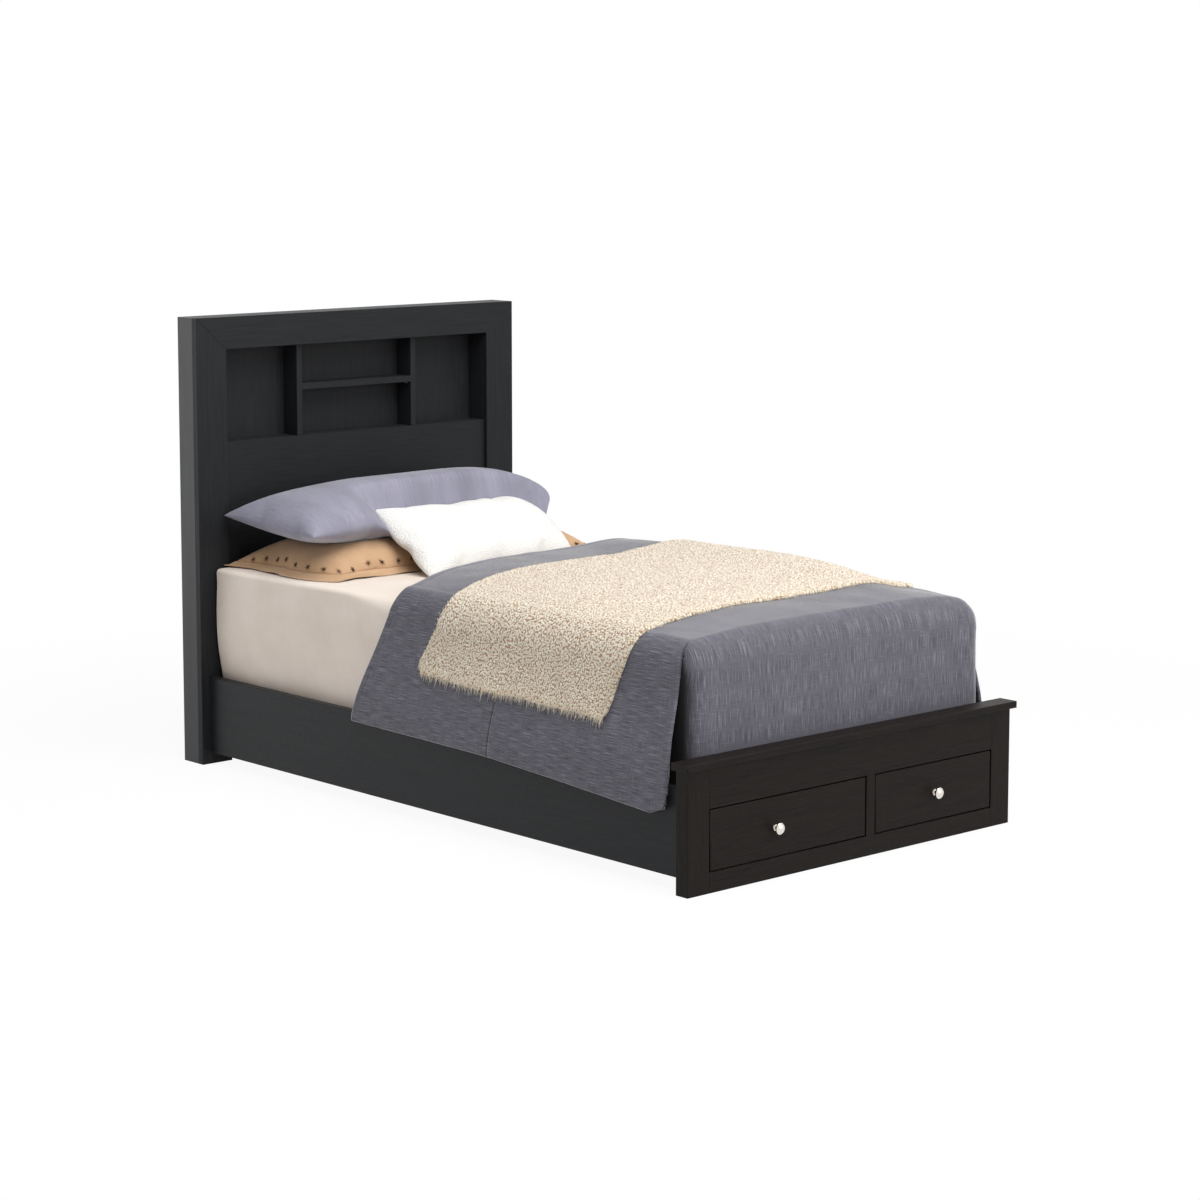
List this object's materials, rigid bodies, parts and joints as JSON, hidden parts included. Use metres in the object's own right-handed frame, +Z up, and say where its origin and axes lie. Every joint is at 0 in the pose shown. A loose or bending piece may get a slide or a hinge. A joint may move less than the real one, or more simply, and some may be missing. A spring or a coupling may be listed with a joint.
{
  "type": "storage bed",
  "caption": "Single bed with a bookcase headboard and footboard drawers on telescopic slides, shown made up with mattress, comforter, throw and pillows.",
  "frame": {"origin": "on the floor, at the middle of the bed's footprint, counted over its cap, headboard and drawer knobs", "axes": "+X across the bed, to the right of someone who stands at its foot and looks at the headboard; +Y from the foot to the head; +Z up"},
  "size_m": [1.166, 2.077, 1.25],
  "materials": {
    "black_painted_wood": "satin",
    "espresso_wood": "satin",
    "drawer_box_wood": "matt",
    "case_board": "matt",
    "pine_wood": "matt",
    "zinc_steel": "brushed",
    "polished_nickel": "polished",
    "glide_plastic": "matt",
    "mattress_ticking": "matt",
    "cream_sheet": "matt",
    "slub_cotton": "matt",
    "cream_pile": "matt",
    "grey_cotton": "matt",
    "tan_cotton": "matt",
    "white_pile": "matt"
  },
  "bodies": {
    "frame": {"headboard_side_left": "black_painted_wood", "headboard_side_right": "black_painted_wood", "headboard_stile_left": "black_painted_wood", "headboard_stile_right": "black_painted_wood", "headboard_top_rail": "black_painted_wood", "headboard_top_board": "black_painted_wood", "bookcase_bottom_board": "black_painted_wood", "bookcase_middle_shelf": "black_painted_wood", "bookcase_divider_left": "black_painted_wood", "bookcase_divider_right": "black_painted_wood", "bookcase_side_left": "black_painted_wood", "bookcase_side_right": "black_painted_wood", "headboard_back_panel": "black_painted_wood", "headboard_lower_panel": "black_painted_wood", "headboard_stretcher": "black_painted_wood", "side_rail_left": "black_painted_wood", "side_rail_right": "black_painted_wood", "footboard_stile_left": "espresso_wood", "footboard_stile_right": "espresso_wood", "footboard_top_rail": "espresso_wood", "footboard_bottom_rail": "espresso_wood", "footboard_centre_stile": "espresso_wood", "footboard_cap": "espresso_wood", "drawer_case_side_left": "case_board", "drawer_case_side_right": "case_board", "drawer_case_partition": "case_board", "drawer_case_back": "case_board", "bed_slats": "pine_wood", "centre_beam": "pine_wood", "support_legs": "pine_wood", "ledger_cleat_left": "pine_wood", "ledger_cleat_right": "pine_wood", "corner_brackets": "zinc_steel", "bracket_bolts": "zinc_steel", "slide_outer_members": "zinc_steel", "shelf_pins": "zinc_steel", "leg_glides": "glide_plastic", "mattress": "mattress_ticking", "fitted_sheet": "cream_sheet", "comforter": "slub_cotton", "throw_blanket": "cream_pile", "grey_pillow": "grey_cotton", "tan_pillow": "tan_cotton", "white_cushion": "white_pile"},
    "drawer_left": {"drawer_front_left": "espresso_wood", "drawer_sides_left": "drawer_box_wood", "drawer_back_left": "drawer_box_wood", "drawer_bottom_left": "drawer_box_wood", "slide_inner_left": "zinc_steel", "knob_screw_left": "zinc_steel", "drawer_knob_left": "polished_nickel"},
    "drawer_right": {"drawer_front_right": "espresso_wood", "drawer_sides_right": "drawer_box_wood", "drawer_back_right": "drawer_box_wood", "drawer_bottom_right": "drawer_box_wood", "slide_inner_right": "zinc_steel", "knob_screw_right": "zinc_steel", "drawer_knob_right": "polished_nickel"},
    "slide_left": {"slide_middle_left": "zinc_steel"},
    "slide_right": {"slide_middle_right": "zinc_steel"}
  },
  "joints": [
    {"name": "drawer_left_travel", "type": "slide", "parent": "frame", "child": "drawer_left", "axis": [0, -1, 0], "range_m": [0, 0.4]},
    {"name": "slide_left_travel", "type": "slide", "parent": "frame", "child": "slide_left", "axis": [0, -1, 0], "range_m": [0, 0.2]},
    {"name": "drawer_right_travel", "type": "slide", "parent": "frame", "child": "drawer_right", "axis": [0, -1, 0], "range_m": [0, 0.4]},
    {"name": "slide_right_travel", "type": "slide", "parent": "frame", "child": "slide_right", "axis": [0, -1, 0], "range_m": [0, 0.2]}
  ],
  "couplings": [
    {"joint": "slide_left_travel", "follows": "drawer_left_travel", "ratio": 0.5},
    {"joint": "slide_right_travel", "follows": "drawer_right_travel", "ratio": 0.5}
  ]
}
